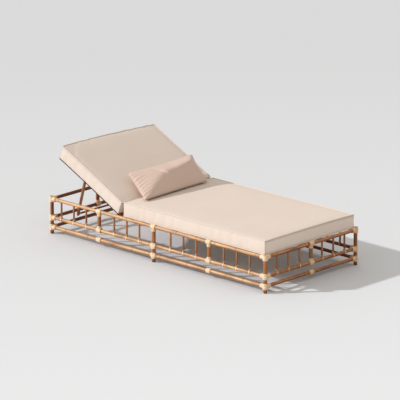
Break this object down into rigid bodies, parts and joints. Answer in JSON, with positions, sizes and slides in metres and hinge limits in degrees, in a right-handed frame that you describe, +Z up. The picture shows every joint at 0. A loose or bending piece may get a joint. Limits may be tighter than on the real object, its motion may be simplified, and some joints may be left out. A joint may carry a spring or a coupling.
{
  "type": "sun lounger",
  "caption": "Rattan sun lounger with bound pole frame, reclining backrest on a folding prop, flat cushions and a lumbar pillow.",
  "frame": {"origin": "on the floor under the middle of the bed, half way between the post centres each way", "axes": "+X towards the foot end, +Y to the left of someone lying on it, +Z up"},
  "size_m": [2.037, 0.927, 0.6318],
  "materials": {
    "rattan_pole": "varnished cane poles, honey brown with darker patches",
    "rattan_peel": "pale wound peel",
    "cushion_fabric": "woven outdoor fabric, pale sand",
    "pillow_fabric": "woven fabric, warm brown",
    "rubber": "matt black glide"
  },
  "bodies": {
    "frame": {"corner_post_head_left": "rattan_pole", "corner_post_head_right": "rattan_pole", "corner_post_foot_left": "rattan_pole", "corner_post_foot_right": "rattan_pole", "middle_post_left": "rattan_pole", "middle_post_right": "rattan_pole", "short_post_head_left": "rattan_pole", "short_post_head_right": "rattan_pole", "centre_post_head": "rattan_pole", "short_post_foot_left": "rattan_pole", "short_post_foot_right": "rattan_pole", "centre_post_foot": "rattan_pole", "top_rail_left": "rattan_pole", "top_rail_right": "rattan_pole", "top_rail_head": "rattan_pole", "mid_rail_head": "rattan_pole", "low_rail_head": "rattan_pole", "mid_rail_head_left": "rattan_pole", "low_rail_head_left": "rattan_pole", "low_binding_head_left": "rattan_peel", "mid_rail_head_right": "rattan_pole", "low_rail_head_right": "rattan_pole", "low_binding_head_right": "rattan_peel", "low_binding_head_end": "rattan_peel", "top_rail_foot": "rattan_pole", "mid_rail_foot": "rattan_pole", "low_rail_foot": "rattan_pole", "mid_rail_foot_left": "rattan_pole", "low_rail_foot_left": "rattan_pole", "low_binding_foot_left": "rattan_peel", "mid_rail_foot_right": "rattan_pole", "low_rail_foot_right": "rattan_pole", "low_binding_foot_right": "rattan_peel", "low_binding_foot_end": "rattan_peel", "foot_glide_head_left": "rubber", "foot_glide_head_right": "rubber", "foot_glide_middle_left": "rubber", "foot_glide_middle_right": "rubber", "foot_glide_foot_left": "rubber", "foot_glide_foot_right": "rubber", "deck_rung_1": "rattan_pole", "deck_rung_2": "rattan_pole", "deck_rung_3": "rattan_pole", "deck_rung_4": "rattan_pole", "deck_rung_5": "rattan_pole", "deck_rung_6": "rattan_pole", "deck_spine": "rattan_pole", "hinge_rail": "rattan_pole", "seat_cushion": "cushion_fabric"},
    "backrest": {"back_stile_left": "rattan_pole", "back_stile_right": "rattan_pole", "back_cross_pole_1": "rattan_pole", "back_cross_pole_2": "rattan_pole", "back_cross_pole_3": "rattan_pole", "prop_pivot_pole": "rattan_pole", "back_cushion": "cushion_fabric"},
    "prop": {"prop_strut_left": "rattan_pole", "prop_strut_right": "rattan_pole", "prop_crossbar": "rattan_pole"},
    "pillow": {"pillow": "pillow_fabric"}
  },
  "joints": [
    {"name": "recline", "type": "hinge", "parent": "frame", "child": "backrest", "pos_m": [-0.3885, 0, 0.247], "axis": [0, 1, 0], "range_deg": [-26.9, 0]},
    {"name": "prop_swing", "type": "hinge", "parent": "backrest", "child": "prop", "pos_m": [-0.87542, 0, 0.49403], "axis": [0, 1, 0], "range_deg": [-74.51, 0]},
    {"name": "pillow_lift", "type": "slide", "parent": "backrest", "child": "pillow", "axis": [0.4524, 0, 0.8918], "range_m": [0, 0.15]}
  ],
  "couplings": [
    {"joint": "prop_swing", "follows": "recline", "ratio": 2.77}
  ]
}
